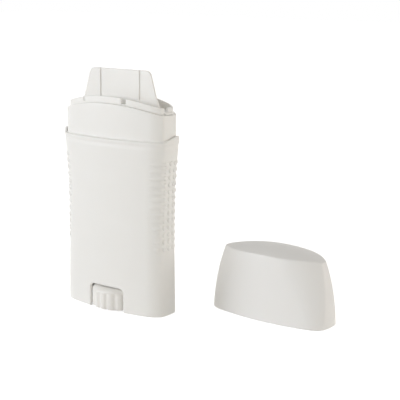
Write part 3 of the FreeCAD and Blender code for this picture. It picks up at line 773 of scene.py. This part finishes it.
def rib_tree():
    """Low ribs laid flat on the points, each then curled round an upright axis of its own."""
    tree, source = new_tree("Corner ribs", "Bend", "Radius", "Height")
    size = source.outputs
    carried = {key: add_node(tree, "GeometryNodeInputNamedAttribute", {"Name": key},
                             data_type="FLOAT").outputs["Attribute"]
               for key in ("centre_x", "centre_y", "facing", "reach")}
    ball = add_node(tree, "GeometryNodeMeshUVSphere", {"Segments": 40, "Rings": 14, "Radius": 1.0})
    scale = add_node(tree, "ShaderNodeCombineXYZ",
                     {"X": size["Height"], "Y": carried["reach"], "Z": size["Radius"]})
    flat = add_node(tree, "GeometryNodeInstanceOnPoints",
                    {"Points": size["Geometry"], "Instance": ball.outputs["Mesh"],
                     "Scale": scale.outputs["Vector"]})
    loose = add_node(tree, "GeometryNodeRealizeInstances", {"Geometry": flat.outputs["Instances"]})
    place = add_node(tree, "ShaderNodeSeparateXYZ",
                     {"Vector": add_node(tree, "GeometryNodeInputPosition").outputs["Position"]})
    curl = add_node(tree, "ShaderNodeMath", {0: place.outputs["Y"], 1: size["Bend"]}, operation="DIVIDE")
    turn = add_node(tree, "ShaderNodeMath", {0: carried["facing"], 1: curl.outputs[0]}, operation="ADD")
    out = add_node(tree, "ShaderNodeMath", {0: place.outputs["X"], 1: size["Bend"]}, operation="ADD")
    straight = add_node(tree, "ShaderNodeCombineXYZ", {"X": out.outputs[0], "Z": place.outputs["Z"]})
    curled = add_node(tree, "ShaderNodeVectorRotate",
                      {"Vector": straight.outputs["Vector"], "Angle": turn.outputs[0]},
                      rotation_type="Z_AXIS")
    axis = add_node(tree, "ShaderNodeCombineXYZ", {"X": carried["centre_x"], "Y": carried["centre_y"]})
    bent = add_node(tree, "ShaderNodeVectorMath",
                    {0: curled.outputs["Vector"], 1: axis.outputs["Vector"]}, operation="ADD")
    ribs = add_node(tree, "GeometryNodeSetPosition",
                    {"Geometry": loose.outputs["Geometry"], "Position": bent.outputs["Vector"]})
    return end_tree(tree, source, ribs.outputs["Geometry"])


class CONTAINER_OT_grip(bpy.types.Operator):
    """Sets the moulded grip on both narrow ends: columns of bumps, and ribs round the corners"""
    bl_idname = "container.grip"
    bl_label = "Grip"

    def execute(self, context):
        grip = context.scene.container_grip
        plan = context.scene.container_plan
        spots, rib_spots, ribs = [], [], {"centre_x": [], "centre_y": [], "facing": [], "reach": []}
        for row in range(grip.rows):
            z = grip.low + grip.pitch * row
            width, depth = case_size(z)
            for column in range(grip.columns):
                y = grip.column_gap * (column - (grip.columns - 1) / 2)
                x = width / 2 - plan.end_radius + math.sqrt(plan.end_radius ** 2 - y ** 2)
                spots += [(x, y, z), (-x, y, z)]
            centre = plan_centres(width, depth)[1]
            full = min(1.0, grip.rib_least + (1 - grip.rib_least) * grip.rib_growth * row / (grip.rows - 1))
            for side_x, side_y in ((1, 1), (-1, 1), (-1, -1), (1, -1)):
                facing = grip.rib_facing if side_x * side_y > 0 else -grip.rib_facing
                rib_spots.append((0.0, 0.0, z))
                ribs["centre_x"].append(side_x * centre.x)
                ribs["centre_y"].append(side_y * centre.y)
                ribs["facing"].append(facing if side_x > 0 else facing + math.pi)
                ribs["reach"].append(grip.rib_reach * full)
        white = bpy.data.materials["polypropylene_case"]
        bumps = points_object("grip_bumps", spots)
        run_tree(bumps, bump_tree(), white, Radius=grip.bump_radius, Height=grip.bump_height)
        finish_piece(bumps, "case", "case_white", white)
        bends = points_object("corner_ribs", rib_spots, **ribs)
        run_tree(bends, rib_tree(), white, Bend=plan.bend_radius, Radius=grip.rib_radius,
                 Height=grip.rib_height)
        finish_piece(bends, "case", "case_white", white)
        return {"FINISHED"}


# ---- the dial --------------------------------------------------------------------------------------

def wheel_rings(dial):
    """Rings of the fluted wheel and its spindle, from the hub's underside out, up and in again."""
    count = dial.flutes * 12
    pitch = 2 * math.pi / dial.flutes

    def ring(radius, z, fluted=0.0):
        points = []
        for i in range(count):
            turn = 2 * math.pi * i / count
            off = abs((turn % pitch) - pitch / 2) / (dial.flute_share * pitch)
            dip = 0.5 + 0.5 * math.cos(math.pi * min(off, 1.0))
            r = radius - dial.flute_depth * dip * fluted
            points.append((r * math.cos(turn), r * math.sin(turn), z))
        return points

    inner, roof = dial.radius - dial.flute_depth - dial.wall, dial.top - dial.wall
    bevel, edge = 0.2 * MM, 0.3 * MM
    runs_out, shoulder_steps = math.radians(22), 14
    rings = [ring(0.0, dial.bottom), ring(dial.hub, dial.bottom), ring(dial.hub, roof)]
    rings += [ring(inner - inset, roof - below) for inset, below in reversed(rounding(dial.hollow))]
    rings += [ring(inner, dial.bottom + bevel), ring(inner + bevel, dial.bottom)]
    rings += [ring(dial.radius - inset, dial.bottom + below, 1.0)
              for inset, below in reversed(rounding(edge, 3))]
    rings += [ring(dial.radius, z, 1.0)
              for z in steps_between(dial.bottom + edge, dial.top - dial.shoulder, 5)[1:]]
    for i in range(1, shoulder_steps + 1):
        t = math.pi / 2 * i / shoulder_steps
        fade = max(0.0, 1 - t / runs_out)
        rings.append(ring(dial.radius - dial.shoulder * (1 - math.cos(t)),
                          dial.top - dial.shoulder * (1 - math.sin(t)), fade ** 2 * (3 - 2 * fade)))
    rings += [ring(dial.thrust_radius, dial.top), ring(dial.thrust_radius, dial.thrust_top),
              ring(dial.journal, dial.thrust_top), ring(dial.journal, dial.snap_z),
              ring(dial.snap_radius, dial.snap_z)]
    rings += [ring(dial.core, z)
              for z in steps_between(dial.snap_z + dial.snap_height, dial.tip - dial.point, 12)]
    return rings + [ring(dial.core - dial.point, dial.tip), ring(0.0, dial.tip)]


def thread_tree():
    """A left-hand thread swept along a helix, so that the platform rises as the dial turns."""
    tree, source = new_tree("Spindle thread", "Turns", "Height", "Radius", "Foot", "Crest", "Depth")
    size = source.outputs
    helix = add_node(tree, "GeometryNodeCurveSpiral",
                     {"Resolution": 32, "Rotations": size["Turns"], "Start Radius": size["Radius"],
                      "End Radius": size["Radius"], "Height": size["Height"]})
    shape = add_node(tree, "GeometryNodeCurvePrimitiveQuadrilateral",
                     {"Height": size["Depth"], "Bottom Width": size["Foot"],
                      "Top Width": size["Crest"], "Offset": 0.0}, mode="TRAPEZOID")
    level = add_node(tree, "GeometryNodeSetCurveNormal", {"Curve": helix.outputs["Curve"]}, mode="Z_UP")
    upright = add_node(tree, "GeometryNodeTransform",
                       {"Geometry": shape.outputs["Curve"], "Rotation": (0.0, 0.0, math.pi / 2)})
    sweep = add_node(tree, "GeometryNodeCurveToMesh",
                     {"Curve": level.outputs["Curve"], "Profile Curve": upright.outputs["Geometry"],
                      "Fill Caps": True})
    return end_tree(tree, source, sweep.outputs["Mesh"])


class CONTAINER_OT_dial(bpy.types.Operator):
    """Builds the fluted hand wheel with its spindle and thread"""
    bl_idname = "container.dial"
    bl_label = "Dial and spindle"

    def execute(self, context):
        dial = context.scene.container_dial
        white = polypropylene("polypropylene_dial", context.scene.container_finish.dial, gloss=0.4)
        wheel = new_piece("dial_wheel", [skin(wheel_rings(dial))])
        settle(wheel)
        finish_piece(wheel, "dial", "dial_white", white, "dial_spindle")
        run_in, run_out, sunk = 1.0 * MM, 1.5 * MM, 0.2 * MM
        low = dial.snap_z + dial.snap_height + run_in
        height = dial.tip - run_out - low
        depth = dial.crest - dial.core + sunk
        thread = points_object("spindle_thread", [(0.0, 0.0, 0.0)])
        run_tree(thread, thread_tree(), white, Turns=height / dial.lead, Height=height,
                 Radius=dial.crest - depth / 2, Foot=dial.thread_foot, Crest=dial.thread_crest, Depth=depth)
        thread.data.transform(Matrix.Translation((0, 0, low)))
        finish_piece(thread, "dial", "dial_white", white)
        return {"FINISHED"}


def platform_rings(platform, case):
    """Rings up the rim's outside, down to the plate, up the hub, down its hole and out underneath."""
    bore = neck_size(case, case.neck_wall, case.bore_inset)
    outer, inner = oval(*bore, platform.clearance), oval(*bore, platform.clearance + platform.wall)
    hub, hole = circle(platform.hub, len(outer)), circle(platform.hole, len(outer))
    plate, top, hub_top = platform.plate, platform.plate + platform.thickness, platform.hub_top
    return [at(outer, platform.low), at(outer, platform.high), at(inner, platform.high), at(inner, top),
            at(between(inner, hub, 0.5), top), at(hub, top), at(hub, hub_top), at(hole, hub_top),
            at(hole, plate), at(between(inner, hole, 0.5), plate), at(inner, plate), at(inner, platform.low)]


class CONTAINER_OT_platform(bpy.types.Operator):
    """Builds the platform that the product sits on: rim, plate and hub"""
    bl_idname = "container.platform"
    bl_label = "Platform"

    def execute(self, context):
        platform, case = context.scene.container_platform, context.scene.container_case
        low, top = platform.plate + platform.thickness / 2, platform.rib_top
        half, side, edge = platform.rib / 2, platform.rib_side, 0.2 * MM
        end = 2 * platform.rib_place
        ribs = [rounded_box((left, -half, low), (right, half, top), edge)
                for left, right in ((-end, -platform.hub), (platform.hub, end))]
        ribs += [rounded_box((x - half, -side, low), (x + half, side, top), edge)
                 for x in (-platform.rib_place, platform.rib_place)]
        disc = new_piece("platform_disc", [skin(platform_rings(platform, case), loop=True)] + ribs)
        settle(disc)
        white = polypropylene("polypropylene_platform", context.scene.container_finish.dial,
                              gloss=0.45)
        finish_piece(disc, "platform", "platform_white", white, "platform")
        return {"FINISHED"}


# ---- the inner seal --------------------------------------------------------------------------------

def plug_rings(seal, case, dome):
    """Rings from under the dome, out and down inside the plug, up its outside, over the lip and down to
    the dome."""
    seat = neck_size(case, case.neck_wall)
    inset = seal.clearance + seal.wall
    under = crowned(case.rim_top + seal.dome - seal.thickness, case.rim_radius - seal.thickness,
                    seal.dome_radius)
    inner = oval(*seat, inset)
    rings = [at(between(spine(inner, seal.spine), inner, part), under)
             for part in (0.0, 0.2, 0.4, 0.6, 0.8, 0.93, 1.0)]
    rings += [at(inner, seal.low + seal.lead_in), at(oval(*seat, inset - seal.lead_in), seal.low)]
    rings += rolled(seat, seal.clearance, seal.low, seal.lead_in, up=1, steps=2)[::-1]
    lip = arched(case.rim_top + seal.lip, seal.lip_arch)
    base = seal.low + seal.lead_in
    wall = oval(*seat, seal.clearance)
    rings += [[(x, y, base + (lip(x, y) - seal.lip_edge - base) * part) for x, y in wall]
              for part in (0.25, 0.5, 0.75)]
    rings += rolled(seat, seal.clearance, lip, seal.lip_edge)
    rings += rolled(seat, inset, lip, seal.lip_edge, out=-1)[::-1]
    return rings + rolled(seat, inset, dome, seal.lip_root, up=1, steps=3)


def tab_half(seal, z):
    """Half the tab's width at a height."""
    part = (z - seal.tab_foot) / (seal.tab_top - seal.tab_foot)
    return (seal.tab_foot_width + (seal.tab_top_width - seal.tab_foot_width) * part) / 2


def tab_rings(seal, case, dome):
    """Rings from the lip's root in over the dome, up the tab's hollow foot and the tab, to its top."""
    shore = oval(*neck_size(case, case.neck_wall), seal.clearance + seal.wall + seal.lip_root)
    thick, edge, root = seal.tab_thickness / 2, seal.tab_edge, seal.tab_root
    spread, blunt = 0.5 * MM, 0.9
    foot_corner, root_corner = 0.98, 0.99    # how nearly the corners take up half the depth
    foot = seal.tab_foot_width / 2
    for _ in range(4):    # closes in on half the width with which the tab meets the dome
        foot = tab_half(seal, dome(foot, 0.0))
    outer = slab(foot + spread, thick + root, thick + root * foot_corner)
    rings = [at(between(shore, outer, part / 9), dome) for part in range(1, 10)]
    for turn in (18, 36, 54, 72, 90):
        t = math.radians(turn)
        out = 1 - math.sin(t)
        depth = thick + root * out
        outline = slab(foot + spread * out, depth, edge + (depth * root_corner - edge) * out)
        rings.append(at(outline, shifted(dome, root * (1 - math.cos(t)))))
    foot_z, corner_low = dome(foot, 0.0), seal.tab_top - seal.tab_corner
    for part in (0.12, 0.3, 0.5, 0.7, 0.85):
        z_end = foot_z + root + (corner_low - foot_z - root) * part
        rings.append([(x, y, dome(x, y) + root + (corner_low - dome(x, y) - root) * part)
                      for x, y in slab(tab_half(seal, z_end), thick, edge)])
    for turn in (0, 15, 30, 45, 60, 74, 84, 90):
        t = math.radians(turn)
        z = seal.tab_top - seal.tab_corner * (1 - math.sin(t))
        near = max(0.0, (z - (seal.tab_top - edge)) / edge)
        depth = thick - edge * (1 - math.sqrt(max(0.0, 1 - near ** 2))) * blunt
        half = tab_half(seal, z) - seal.tab_corner * (1 - math.cos(t))
        rings.append(at(slab(half, depth, min(edge, depth * blunt)), z))
    half = tab_half(seal, seal.tab_top) - seal.tab_corner
    return rings + [at(spine(slab(half, thick, edge), half), seal.tab_top)]


def seal_rings(seal, case):
    """Rings over the whole seal, from under the dome to the top of the tab."""
    dome = crowned(case.rim_top + seal.dome, case.rim_radius, seal.dome_radius)
    return plug_rings(seal, case, dome) + tab_rings(seal, case, dome)


def lug_part(seal, case, side):
    """A small lug lying over the rim at one end."""
    inner, half = neck_size(case, case.neck_wall)[0] / 2 - seal.wall, seal.lug_width / 2
    points, faces = rounded_box((inner, -half, 0.0), (seal.lug_reach, half, seal.lug_height), seal.lip_edge)
    arch = arched(case.rim_top + seal.lug_gap, case.rim_radius + seal.lug_gap)
    points = [(side * x, y, z + arch(x, y)) for x, y, z in points]
    return points, faces if side > 0 else [tuple(reversed(face)) for face in faces]


def lip_notches(seal, case):
    """Cutters for the gaps in the lip, in pairs that half a turn brings onto each other."""
    lip = arched(case.rim_top + seal.lip, seal.lip_arch)
    width, depth = neck_size(case, case.neck_wall)
    inward, past = seal.wall + seal.lip_root + seal.clearance, 1.0 * MM
    top = lip(0.0, 0.0) + past
    boxes = []
    for x, wide, deep in (seal.notch, seal.slit):
        boxes.append(((x - wide / 2, -depth / 2 - past, lip(x, 0.0) - deep),
                      (x + wide / 2, -depth / 2 + inward, top)))
    end = width / 2 - inward
    y, wide, deep = seal.end_notch
    boxes.append(((end, -y - wide / 2, lip(end, 0.0) - deep), (width / 2 + past, -y + wide / 2, top)))
    half_turn = Matrix.Rotation(math.pi, 4, "Z")
    cutters = []
    for low, high in boxes:
        for place in (None, half_turn):
            cutters.append(new_piece("notch_cutter", [rounded_box(low, high, seal.lip_edge)], place))
    return cutters


class CONTAINER_OT_seal(bpy.types.Operator):
    """Builds the inner seal: plug, notched lip, dome, end lugs and ribbed pull tab"""
    bl_idname = "container.seal"
    bl_label = "Inner seal"

    def execute(self, context):
        seal, case = context.scene.container_seal, context.scene.container_case
        lid = new_piece("seal_lid", [skin(seal_rings(seal, case))])
        carve(lid, lip_notches(seal, case))
        white = polypropylene("polypropylene_seal", context.scene.container_finish.case, gloss=0.38)
        finish_piece(lid, "seal", "seal_white", white, "inner_seal")
        proud = seal.tab_thickness / 2 + seal.rib_proud
        half = seal.rib_width / 2
        ribs = [rounded_box((x - half, -proud, case.rim_top), (x + half, proud, seal.tab_top), seal.rib_edge)
                for x in (-seal.rib_x, seal.rib_x)]
        extras = new_piece("seal_ribs_and_lugs", ribs + [lug_part(seal, case, 1), lug_part(seal, case, -1)])
        settle(extras)
        finish_piece(extras, "seal", "seal_white", white)
        return {"FINISHED"}


# ---- the cap ---------------------------------------------------------------------------------------

def cap_outline(cap, case, z, inset=0.0):
    """The cap's plan at a height: the shoulder's plan, leaning in and its ends getting narrower."""
    part = z / cap.height
    end_part = bpy.context.scene.container_plan.end_part
    end_part += (cap.top_end_part - end_part) * part
    width = case.shoulder[0] + 2 * cap.overhang - 2 * cap.end_lean * part ** cap.lean_power
    depth = case.shoulder[1] + 2 * cap.overhang - 2 * cap.face_lean * part
    bend_radius = bpy.context.scene.container_plan.bend_radius
    return oval(width, depth, inset, end_part, bend_radius + (cap.top_bend - bend_radius) * part)


def cap_wall(cap, case, inset):
    """The cap's wall as a function of a point's number and a height, and how many points go round it."""
    levels = 72
    walls = [cap_outline(cap, case, z, inset) for z in steps_between(0.0, cap.height, levels)]

    def place(i, z):
        level = min(z / cap.height * levels, levels - 1e-6)
        low = int(level)
        x, y = between([walls[low][i]], [walls[low + 1][i]], level - low)[0]
        return x, y, z
    return place, len(walls[0])


def crown_meets(wall, count, crown, start):
    """Where the wall meets the crown, for each point round the plan."""
    met = []
    for i in range(count):
        z = start
        for _ in range(30):    # closes in on the height at which both have the same point
            x, y, _ = wall(i, z)
            z = crown(x, y)
        met.append(wall(i, z))
    return met


def cap_rings(cap, case):
    """Rings from the inside crown out, down, round the foot, up the outside and over the crown."""
    crown = crowned(cap.height, cap.crown_x, cap.crown_y)
    roof = crowned(cap.height - cap.wall, cap.crown_x - cap.wall, cap.crown_y)
    inner, count = cap_wall(cap, case, cap.wall)
    inner_met = crown_meets(inner, count, roof, cap.height * 0.9)
    inner_edge = [(x, y) for x, y, _ in inner_met]
    rings = [at(between(spine(inner_edge, cap.spine), inner_edge, part), roof)
             for part in (0.0, 0.25, 0.5, 0.75, 0.9, 1.0)]
    rings += [[inner(i, top * part) for i, (_, _, top) in enumerate(inner_met)]
              for part in (0.97, 0.9, 0.8, 0.7, 0.6, 0.5, 0.4, 0.3, 0.2, 0.1)]
    rings.append(at(cap_outline(cap, case, 0.0, cap.wall), 0.0))
    rings += [at(cap_outline(cap, case, up, cut), up) for cut, up in reversed(rounding(cap.foot_edge))]
    outer, count = cap_wall(cap, case, 0.0)
    met = crown_meets(outer, count, crown, cap.height * 0.9)
    below = [outer(i, z - cap.top_edge) for i, (_, _, z) in enumerate(met)]
    rings += [[outer(i, z * part) for i, (_, _, z) in enumerate(below)]
              for part in steps_between(cap.foot_edge / cap.height, 1.0, 24)[1:-1]]
    rim = [(x, y) for x, y, _ in met]
    above = []
    for i, (x, y) in enumerate(rim):
        way = Vector(rim[i - 1]) - Vector(rim[(i + 1) % count])
        way = Vector((-way.y, way.x)).normalized() * cap.top_edge
        above.append((x - way.x, y - way.y, crown(x - way.x, y - way.y)))
    for part in (0.0, 0.25, 0.5, 0.75, 1.0):
        near, pull, far = (1 - part) ** 2, 2 * part * (1 - part), part ** 2
        rings.append([tuple(near * low[i] + pull * corner[i] + far * high[i] for i in range(3))
                      for low, corner, high in zip(below, met, above)])
    edge = [(x, y) for x, y, _ in above]
    return rings + [at(between(edge, spine(edge, cap.spine), part), crown)
                    for part in (0.06, 0.14, 0.25, 0.4, 0.55, 0.7, 0.85, 1.0)]


class CONTAINER_OT_cap(bpy.types.Operator):
    """Builds the cap where it stands beside the case"""
    bl_idname = "container.cap"
    bl_label = "Cap"

    def execute(self, context):
        cap, case = context.scene.container_cap, context.scene.container_case
        centre = (CAP_LOW + CAP_HIGH) / 2
        place = Matrix.Translation((centre.x, centre.y, 0.0)) @ Matrix.Rotation(cap.turn, 4, "Z")
        shell = new_piece("cap_shell", [skin(cap_rings(cap, case))], place)
        settle(shell)
        white = polypropylene("polypropylene_cap", context.scene.container_finish.cap)
        finish_piece(shell, "case", "cap_white", white, "cap")
        return {"FINISHED"}


# ---- the stage -------------------------------------------------------------------------------------

def seen_or_mirrored(tree):
    """1 for rays from the camera, off gloss or through glass, else 0."""
    rays = add_node(tree, "ShaderNodeLightPath")
    seen, gloss, through = (rays.outputs[f"Is {kind} Ray"] for kind in ("Camera", "Glossy", "Transmission"))
    some = add_node(tree, "ShaderNodeMath", {0: seen, 1: gloss}, operation="MAXIMUM")
    return add_node(tree, "ShaderNodeMath", {0: some.outputs[0], 1: through}, operation="MAXIMUM").outputs[0]


def floor_material(colour, glow_strength):
    """Pale table top that takes the shadow and is white where nothing shades it."""
    material = bpy.data.materials.new("table_top_white")
    material.use_nodes = True
    tree = material.node_tree
    tree.nodes.clear()
    matt = add_node(tree, "ShaderNodeBsdfDiffuse", {"Color": linear(colour)})
    glow = add_node(tree, "ShaderNodeEmission", {"Color": (1.0, 1.0, 1.0, 1.0), "Strength": glow_strength})
    both = add_node(tree, "ShaderNodeAddShader", {0: matt.outputs[0], 1: glow.outputs[0]})
    pick = add_node(tree, "ShaderNodeMixShader",
                    {0: seen_or_mirrored(tree), 1: matt.outputs[0], 2: both.outputs[0]})
    add_node(tree, "ShaderNodeOutputMaterial", {"Surface": pick.outputs[0]})
    return material


def softbox(name, size, power, colour, place, aim):
    """A large soft lamp at a place, turned to a point."""
    data = bpy.data.lights.new(name, "AREA")
    data.shape = "SQUARE"
    data.size = size
    data.energy = power
    data.color = colour
    lamp = bpy.data.objects.new(name, data)
    lamp.location = place
    lamp.rotation_euler = (Vector(aim) - Vector(place)).to_track_quat("-Z", "Y").to_euler()
    bpy.context.scene.collection.objects.link(lamp)


def add_room(stage):
    """A room whose fill fades from top to bottom, and that looks white to the camera."""
    world = bpy.data.worlds.new("room")
    bpy.context.scene.world = world
    world.use_nodes = True
    tree = world.node_tree
    tree.nodes.clear()
    way = add_node(tree, "ShaderNodeTexCoord").outputs["Generated"]
    rise = add_node(tree, "ShaderNodeSeparateXYZ", {"Vector": way}).outputs["Z"]
    fade = add_node(tree, "ShaderNodeMapRange", {"Value": rise, "To Min": stage.fill, "To Max": 0.0})
    fill = add_node(tree, "ShaderNodeBackground",
                    {"Color": (*stage.fill_colour, 1.0), "Strength": fade.outputs["Result"]})
    white = add_node(tree, "ShaderNodeBackground", {"Color": (1.0, 1.0, 1.0, 1.0), "Strength": 1.0})
    pick = add_node(tree, "ShaderNodeMixShader",
                    {0: seen_or_mirrored(tree), 1: fill.outputs[0], 2: white.outputs[0]})
    add_node(tree, "ShaderNodeOutputWorld", {"Surface": pick.outputs[0]})


def add_camera(stage):
    """The camera, placed by its way round and up from the point it is aimed at, and rolled."""
    back = Vector((math.sin(stage.azimuth) * math.cos(stage.elevation),
                   -math.cos(stage.azimuth) * math.cos(stage.elevation), math.sin(stage.elevation)))
    right = Vector((math.cos(stage.azimuth), math.sin(stage.azimuth), 0.0))
    up = back.cross(right)
    turned_right = right * math.cos(stage.roll) + up * math.sin(stage.roll)
    turned_up = up * math.cos(stage.roll) - right * math.sin(stage.roll)
    data = bpy.data.cameras.new("camera")
    data.sensor_width = 36.0
    data.lens = stage.lens
    data.clip_start, data.clip_end = 0.05, 20.0
    camera = bpy.data.objects.new("camera", data)
    axes = Matrix((turned_right, turned_up, back)).transposed().to_4x4()
    camera.matrix_world = Matrix.Translation(Vector(stage.aim) + back * stage.distance) @ axes
    bpy.context.scene.collection.objects.link(camera)
    bpy.context.scene.camera = camera


class CONTAINER_OT_stage(bpy.types.Operator):
    """Sets up the floor, the soft light and the camera"""
    bl_idname = "container.stage"
    bl_label = "Stage"

    def execute(self, context):
        scene = context.scene
        stage = scene.container_stage
        half = stage.floor / 2
        corners = [(-half, -half, 0), (half, -half, 0), (half, half, 0), (-half, half, 0)]
        floor = new_piece("floor", [(corners, [(0, 1, 2, 3)])])
        floor.data.materials.append(floor_material(scene.container_finish.floor, stage.floor_glow))
        add_room(stage)
        softbox("window_light", stage.window_size, stage.window_power, stage.window_colour,
                stage.window_place, stage.light_aim)
        softbox("wall_light", stage.wall_size, stage.wall_power, stage.wall_colour, stage.wall_place,
                stage.light_aim)
        add_camera(stage)
        scene.view_settings.view_transform = "Standard"
        return {"FINISHED"}


# ---- panel and registration ------------------------------------------------------------------------

OPERATORS = (CONTAINER_OT_case, CONTAINER_OT_grip, CONTAINER_OT_dial, CONTAINER_OT_platform,
             CONTAINER_OT_seal, CONTAINER_OT_cap, CONTAINER_OT_stage)
SETTINGS = {"container_plan": PlanSizes, "container_case": CaseSizes, "container_window": WindowSizes,
            "container_grip": GripSizes, "container_dial": DialSizes,
            "container_platform": PlatformSizes, "container_seal": SealSizes,
            "container_cap": CapSizes, "container_finish": FinishColours, "container_stage": StageSizes}


class CONTAINER_PT_panel(bpy.types.Panel):
    """Lists the pieces and the sizes they are built from"""
    bl_label = "Stick container"
    bl_idname = "CONTAINER_PT_panel"
    bl_space_type = "VIEW_3D"
    bl_region_type = "UI"
    bl_category = "Container"

    def draw(self, context):
        for operator in OPERATORS:
            self.layout.operator(operator.bl_idname)
        for name in SETTINGS:
            group = getattr(context.scene, name)
            column = self.layout.column(align=True)
            column.label(text=group.bl_rna.name)
            for key in group.__annotations__:
                column.prop(group, key)


def register():
    for name, group in SETTINGS.items():
        bpy.utils.register_class(group)
        setattr(bpy.types.Scene, name, PointerProperty(type=group))
    for kind in (*OPERATORS, CONTAINER_PT_panel):
        bpy.utils.register_class(kind)


def unregister():
    for kind in reversed((*OPERATORS, CONTAINER_PT_panel)):
        bpy.utils.unregister_class(kind)
    for name, group in SETTINGS.items():
        delattr(bpy.types.Scene, name)
        bpy.utils.unregister_class(group)


def main():
    register()
    bpy.ops.container.case()
    bpy.ops.container.grip()
    bpy.ops.container.dial()
    bpy.ops.container.platform()
    bpy.ops.container.seal()
    bpy.ops.container.cap()
    bpy.ops.container.stage()


if __name__ == "__main__":
    main()
